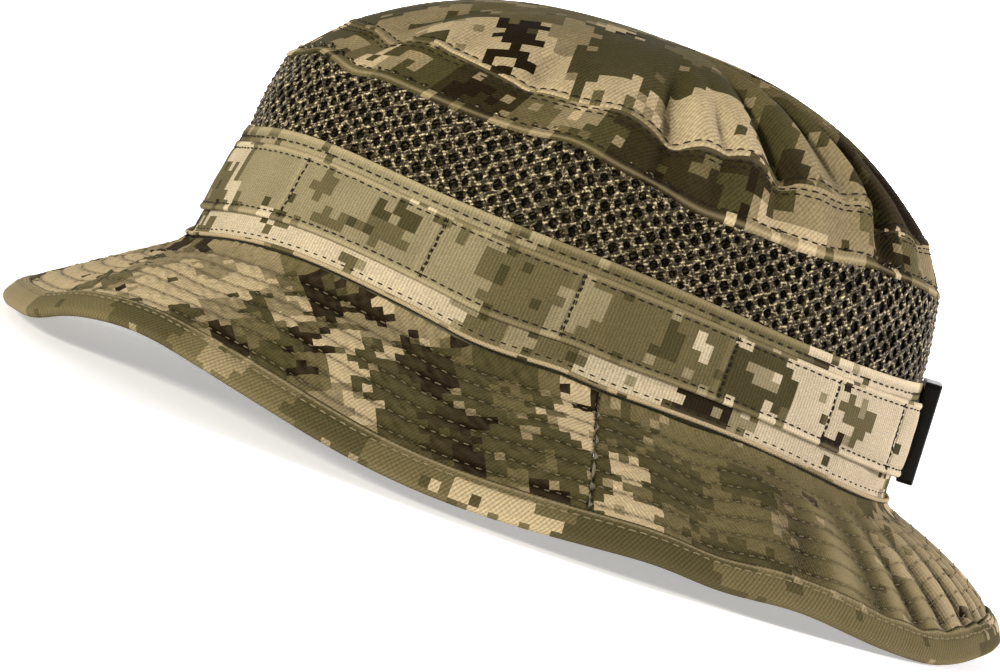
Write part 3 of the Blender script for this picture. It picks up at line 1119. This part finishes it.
def build_brim_half(half, start, end, centre, twist, patches, seed, flat, area):
    columns = int((end - start) * 2.3)
    spots = cloth_spots(patches, lambda angle, share: brim_map(angle, share, centre, twist))
    base, across = field(columns, np.linspace(0.985, 0.015, 92), start + 0.05, end - 0.05)
    from_seam = np.minimum(base - start, end - base)
    lean = np.clip(1.0 - np.abs(from_seam) / 12.0, 0.0, 1.0) * np.sign(turn_to(base, 0.0))
    angles = base + lean * SEAM_SLANT * across
    wear = 0.35 * quilting(angles, across, TOP_SEED) + 1.1 * brim_folds(angles, across) + 0.12
    wear = wear - 1.6 * bell(from_seam * math.radians(1.0) * FLAT_RADIUS, 0.55)
    for row in ROWS:
        wear = wear - 0.95 * (1.0 - 0.8 * tautness(angles)) * bell((across - row) * BRIM_WIDTH, 0.45)
    print_of = woven(half + "_brim_print", seed, spots)
    cloth_piece("brim_top_" + half + "_cloth", below(brim_surface(angles, across), BRIM_CLOTH, False),
                BRIM_CLOTH, "brim_top_" + half, [print_of, LINING], whole=False,
                cloth=brim_map(angles, across, centre, twist), wear=wear)

    angles, across = field(columns // 2, np.linspace(0.015, 0.985, 70), start + 0.12, end - 0.12)
    print_of = woven(half + "_under_print", seed + 50.0)
    cloth_piece("brim_under_" + half + "_cloth", below(under_surface(angles, across), BRIM_CLOTH, False),
                BRIM_CLOTH, "brim_under_" + half, [print_of, LINING], whole=False,
                cloth=brim_map(angles, across, centre, twist + 20.0),
                wear=0.35 * quilting(angles, across, UNDER_SEED) + 0.1)

    angles, across = field(columns // 3, np.linspace(0.98, 0.02, 24), start + 1.0, end - 1.0)
    cloth_piece("brim_stiffener_" + half + "_sheet", brim_middle(angles, across), 0.3,
                "brim_stiffener_" + half, [STIFF, STIFF], whole=False)


def rim_nose(angle, bearing, reach):
    """Point round the brim's edge: bearing 90 is above it, 0 outward and -90 below."""
    level = np.zeros_like(angle)
    rim, normal = brim_middle(angle, level + 1.0), brim_normal(angle, level + 0.995)
    away = unit(rim - brim_middle(angle, level + 0.98))
    turn = math.radians(bearing)
    return rim + reach * (0.8 * away * math.cos(turn) + normal * math.sin(turn))


def binding_face(angle, share, side):
    """Face of the edge binding over the brim's top (side 1) or underside (side -1)."""
    along = (share - BINDING_START) / (1.0 - BINDING_START)
    up = along * BINDING_REACH
    slack = waves(angle, 4.0 * along, 71, 9, 36, 0.30)
    drag = waves(angle, 11.0 * along, 72, 10, 170, 0.28)
    rise = 1.5 + 0.55 * np.sin(np.pi * np.clip(along, 0, 1) ** 0.8) + 0.25 * along - 0.3 * bell(up, 0.6)
    rise = rise + (slack + drag) * arch(along) ** 0.6
    for row in BINDING_ROWS:
        rise = rise - 0.30 * bell(up - (row - BINDING_START) * BRIM_WIDTH, 0.5)
    return brim_middle(angle, share) + brim_normal(angle, share) * (side * rise)[..., None]


def build_binding():
    angles = np.linspace(0.0, 360.0, 1300, endpoint=False)
    shares = np.linspace(1.0, BINDING_START, 26)[1:]
    rows = [binding_face(angles, 0 * angles + share, -1.0) for share in shares[::-1]]
    rows += [rim_nose(angles, bearing, 1.75) for bearing in np.linspace(-80, 80, 9)]
    rows += [binding_face(angles, 0 * angles + share, 1.0) for share in shares]
    outer = np.array(rows)
    rim = len(shares) + 4
    girth, reach = lengths(outer[:, 0]), lengths(closed(outer)[rim])
    across, up = np.meshgrid(reach, girth)
    edge = np.minimum(up, girth[-1] - up)[:, :-1]
    wear = 1.2 * bell(edge - 1.0, 0.6) - 1.5 * bell(edge - 0.1, 0.5)
    wear = wear + 0.25 * bell(up[:, :-1] - girth[rim], 2.0) + 0.12
    turned = np.append(angles, 360.0)
    spots = cloth_spots(EDGE_PATCHES, lambda angle, share: np.stack(
        [np.interp(angle, turned, reach), share * girth[-1]], -1))
    print_of = woven("edge_binding_print", 44.0, spots, limits=(0.80, 0.66, 0.86, 0.90), contrast=0.27)
    cloth_piece("edge_binding_cloth", below(outer, STRIP), STRIP, "brim_edge_binding", [print_of, LINING],
                cloth=np.stack([across, up], -1), wear=wear)


def build_piping():
    """Thin hoop of folded cloth in the seam between crown and brim."""
    angles, bearing = field(900, np.linspace(0.0, 2.0 * np.pi, 10)[:-1])
    radius = 0.62 + waves(angles, 0.0 * angles, 73, 9, 120, 0.08)
    piping = ring_point("brim_seam", angles, 1.0 - radius * np.cos(bearing))
    piping[..., 2] += radius * np.sin(bearing) - 0.1
    across, up = np.meshgrid(lengths(closed(piping)[0]), bearing[:, 0])
    made = hoop("brim_piping_cloth", piping[::-1], np.stack([across, up], -1)[::-1])
    finish_piece(made, [woven("piping_print", 60.0, limits=(0.50, 0.86, 0.52, 0.95))],
                 "brim_piping")


def build_brim_threads():
    full = np.linspace(0.0, 360.0, 2600)
    levels = [row + waves(full, 0.0 * full, int(1000 * row), 6, 40, 0.004) for row in ROWS]
    rows = [seam_line(brim_surface, full, level, -1.0, 0.02) for level in levels]
    rows += [seam_line(under_surface, full, level, 1.0, 0.02) for level in levels]
    sew("brim_row_stitches", rows, BRIM_THREAD, "brim_stitching")
    rows = [seam_line(lambda a, s: binding_face(a, s, side), full, row, -side, 0.05)
            for row in BINDING_ROWS for side in (1.0, -1.0)]
    sew("binding_row_stitches", rows, LIGHT_THREAD, "binding_stitching", seed=15)


# ---- adjuster
def slide_point(along, radial, upward):
    """Point of the adjuster: length along the strap, distance from its inner face, height."""
    along, radial, upward = np.broadcast_arrays(along, radial, upward)
    turn = along / SLIDE_RADIUS
    radius = SLIDE_RADIUS + radial
    tilt = math.radians(SLIDE_LEAN)
    ahead = radius * np.cos(turn)
    return np.stack([radius * np.sin(turn),
                     SLIDE_Y + ahead * math.cos(tilt) - upward * math.sin(tilt),
                     STRAP_MIDDLE + FLOOR_LIFT + ahead * math.sin(tilt) + upward * math.cos(tilt)], -1)


def rounded_box(wide, tall, corner, parts=6):
    """Outline of a rectangle with rounded corners, with points along its long runs."""
    points = []
    for x, y, start in ((1, 1, 0), (-1, 1, 90), (-1, -1, 180), (1, -1, 270)):
        for k in range(parts + 1):
            turn = math.radians(start + 90.0 * k / parts)
            points.append((x * (0.5 * wide - corner) + corner * math.cos(turn),
                           y * (0.5 * tall - corner) + corner * math.sin(turn)))
    return points


def baked(made):
    """Mesh of an object with its bevels or modifiers."""
    bpy.context.view_layer.update()
    return bpy.data.meshes.new_from_object(made.evaluated_get(bpy.context.evaluated_depsgraph_get()))


def moulded(name, outlines, low, high, edge):
    """Flat moulded shape with holes and rounded edges, between two heights."""
    curve = bpy.data.curves.new(name, "CURVE")
    curve.dimensions = "2D"
    curve.fill_mode = "BOTH"
    curve.extrude = 0.5 * (high - low) - edge
    curve.bevel_depth = edge
    curve.bevel_resolution = 2
    curve.offset = -edge
    for outline in outlines:
        spline = curve.splines.new("POLY")
        spline.points.add(len(outline) - 1)
        spline.points.foreach_set("co", np.array([(x, y, 0.0, 1.0) for x, y in outline]).ravel())
        spline.use_cyclic_u = True
    flat = add_object(name, curve)
    flat.location.z = 0.5 * (low + high)
    mesh = baked(flat)
    mesh.transform(flat.matrix_world)
    bpy.data.objects.remove(flat)
    work = bmesh.new()
    work.from_mesh(mesh)
    bmesh.ops.remove_doubles(work, verts=work.verts, dist=0.001)
    bmesh.ops.recalc_face_normals(work, faces=work.faces)
    work.to_mesh(mesh)
    work.free()
    return add_object(name, mesh)


def build_buckle():
    """Slide buckle: a frame and its middle bar in one moulding, bent to the strap's curve."""
    frame_part = moulded("slide_buckle", [
        rounded_box(BUCKLE_LENGTH, BUCKLE_WIDTH, BUCKLE_CORNER),
        rounded_box(BUCKLE_LENGTH - 2.0 * BUCKLE_BAR, WINDOW_TALL, 0.5)],
        BUCKLE_LOW, BUCKLE_LOW + BUCKLE_THICK, BUCKLE_EDGE)
    bar = moulded("slide_bar", [rounded_box(BUCKLE_MID_BAR, WINDOW_TALL + 1.6, 0.4)],
                  BUCKLE_LOW + 0.05, BUCKLE_LOW + BUCKLE_MID_THICK, 0.4)
    join = frame_part.modifiers.new("join", "BOOLEAN")
    join.operation, join.object, join.solver = "UNION", bar, "EXACT"
    joined = baked(frame_part)
    frame_part.modifiers.clear()
    frame_part.data = joined
    bpy.data.objects.remove(bar)
    work = bmesh.new()
    work.from_mesh(joined)
    for cut in range(-7, 8):
        bmesh.ops.bisect_plane(work, geom=work.verts[:] + work.edges[:] + work.faces[:],
                               plane_co=(cut, 0, 0), plane_no=(1, 0, 0))
    bmesh.ops.triangulate(work, faces=[face for face in work.faces if len(face.verts) > 4])
    for vertex in work.verts:
        x, y, z = vertex.co
        vertex.co = Vector(slide_point(x, z, y) * METRES)
    bmesh.ops.recalc_face_normals(work, faces=work.faces)
    work.to_mesh(joined)
    work.free()
    joined.shade_smooth()
    joined.set_sharp_from_angle(angle=math.radians(40.0))
    finish_piece(frame_part, [plastic_material("buckle_black")],
                 "adjuster_buckle", "buckle")


def build_strap():
    """Webbing strap between the ends of the foliage band."""
    reach = math.radians(STRAP_HALF_ANGLE) * SLIDE_RADIUS
    along, upward = np.meshgrid(np.linspace(-reach, reach, 60), np.linspace(-0.48, 0.48, 14) * STRAP_WIDTH)
    cloth_piece("strap_webbing", slide_point(along, 0.5 * STRAP_THICK, upward), STRAP_THICK,
                "adjuster_strap", [WEBBING, WEBBING], whole=False,
                cloth=np.stack([along, upward], -1))


def build_strap_loop():
    """Ply of the strap over the buckle's middle bar, which rides with the buckle."""
    round_off = 0.7
    gap = 0.3 + 0.5 * STRAP_THICK
    start, top = -0.5 * BUCKLE_MID_BAR - gap, BUCKLE_LOW + BUCKLE_MID_THICK + gap
    turns = np.radians(np.linspace(0.0, 90.0, 5)[1:])
    path = [(start, BUCKLE_LOW + step) for step in np.linspace(0.1, top - BUCKLE_LOW - round_off, 4)]
    path += [(start + round_off * (1 - math.cos(turn)), top - round_off * (1 - math.sin(turn)))
             for turn in turns]
    path = np.concatenate([path, np.array(path[::-1]) * (-1.0, 1.0)])
    tall = 0.5 * (WINDOW_TALL - 0.6)
    upward = np.linspace(-tall, tall, 16)
    cloth = np.stack(np.meshgrid(upward, lengths(path)), -1)[..., ::-1]
    cloth_piece("strap_loop_webbing", np.array([slide_point(x, y, upward) for x, y in path]),
                STRAP_THICK * 0.9, "strap_loop", [WEBBING, WEBBING], whole=False, cloth=cloth,
                body="buckle")


# ---- studio
def build_floor():
    """Pale sweep: a floor that curves up into a wall behind the hat."""
    sweep = [(12.0, 0.0), (-5.0, 0.0)]
    sweep += [(-5.0 - 3.0 * math.sin(turn), 3.0 - 3.0 * math.cos(turn))
              for turn in np.linspace(0.1, 0.5 * math.pi, 12)]
    sweep.append((-8.0, 7.0))
    edges = [(x, y, z) for x, z in sweep for y in (-12.0, 12.0)]
    mesh = bpy.data.meshes.new("floor")
    mesh.from_pydata(edges, [], [(2 * k + 1, 2 * k, 2 * k + 2, 2 * k + 3) for k in range(len(sweep) - 1)])
    mesh.shade_smooth()
    paint = bpy.data.materials.new("floor_paint")
    paint.use_nodes = True
    shader = paint.node_tree.nodes["Principled BSDF"]
    shader.inputs["Base Color"].default_value = (0.90, 0.90, 0.895, 1.0)
    shader.inputs["Roughness"].default_value = 0.9
    shader.inputs["Emission Color"].default_value = (1.0, 1.0, 1.0, 1.0)
    shader.inputs["Emission Strength"].default_value = 0.42
    mesh.materials.append(paint)
    add_object("floor", mesh)


def build_lights():
    scene = bpy.context.scene
    scene.view_settings.view_transform = "Standard"
    scene.view_settings.look = "None"
    world = bpy.data.worlds.new("studio")
    scene.world = world
    world.use_nodes = True
    sky = world.node_tree.nodes["Background"]
    sky.inputs["Color"].default_value = (1.0, 0.985, 0.96, 1.0)
    sky.inputs["Strength"].default_value = SKY_STRENGTH
    for name, place, aim, power, wide, tint in LAMPS:
        light = bpy.data.lights.new(name, "AREA")
        light.shape = "DISK"
        light.size = wide
        light.energy = power
        light.color = tint
        lamp = add_object(name, light)
        lamp.location = place
        lamp.rotation_mode = "QUATERNION"
        lamp.rotation_quaternion = (Vector(aim) - Vector(place)).to_track_quat("-Z", "Y")


def build_camera():
    """Camera to the left of the hat, rolled as the photo is."""
    lens = bpy.data.cameras.new("camera")
    lens.sensor_width = 36.0
    lens.lens = CAMERA_LENS
    lens.clip_start, lens.clip_end = 0.05, 60.0
    camera = add_object("camera", lens)
    lift, roll = math.radians(CAMERA_LIFT), math.radians(CAMERA_ROLL)
    back = Vector((math.cos(lift), 0.0, math.sin(lift)))
    level, above = Vector((0.0, 1.0, 0.0)), Vector((-math.sin(lift), 0.0, math.cos(lift)))
    right = level * math.cos(roll) + above * math.sin(roll)
    up = above * math.cos(roll) - level * math.sin(roll)
    turn = Matrix((right, up, back)).transposed()
    camera.matrix_world = Matrix.Translation(Vector(CAMERA_TARGET) + back * CAMERA_AWAY) @ turn.to_4x4()
    bpy.context.scene.camera = camera


# ---- the hat
THREAD = thread_material("thread_dark", (0.013, 0.009, 0.004))
BRIM_THREAD = thread_material("thread_olive", (0.13, 0.104, 0.055))
LIGHT_THREAD = thread_material("thread_khaki", (0.20, 0.16, 0.085))
LINING = plain_cloth("cloth_wrong_side", (0.17, 0.15, 0.09))
SWEAT = plain_cloth("sweatband_weave", (0.16, 0.14, 0.085), 0.7)
TAPE = plain_cloth("tape_weave", (0.15, 0.13, 0.075), 0.6)
STIFF = plain_cloth("stiffener_felt", (0.70, 0.68, 0.62), 0.9, spread=0.3)
WEBBING = webbing_material("strap_weave")

build_dome()
build_sides()
build_band()
build_net()
build_crown_threads()
build_inside()
for half_name, half_values in BRIM_HALVES.items():
    build_brim_half(half_name, *half_values)
build_binding()
build_piping()
build_brim_threads()
build_buckle()
build_strap()
build_strap_loop()
build_floor()
build_lights()
build_camera()
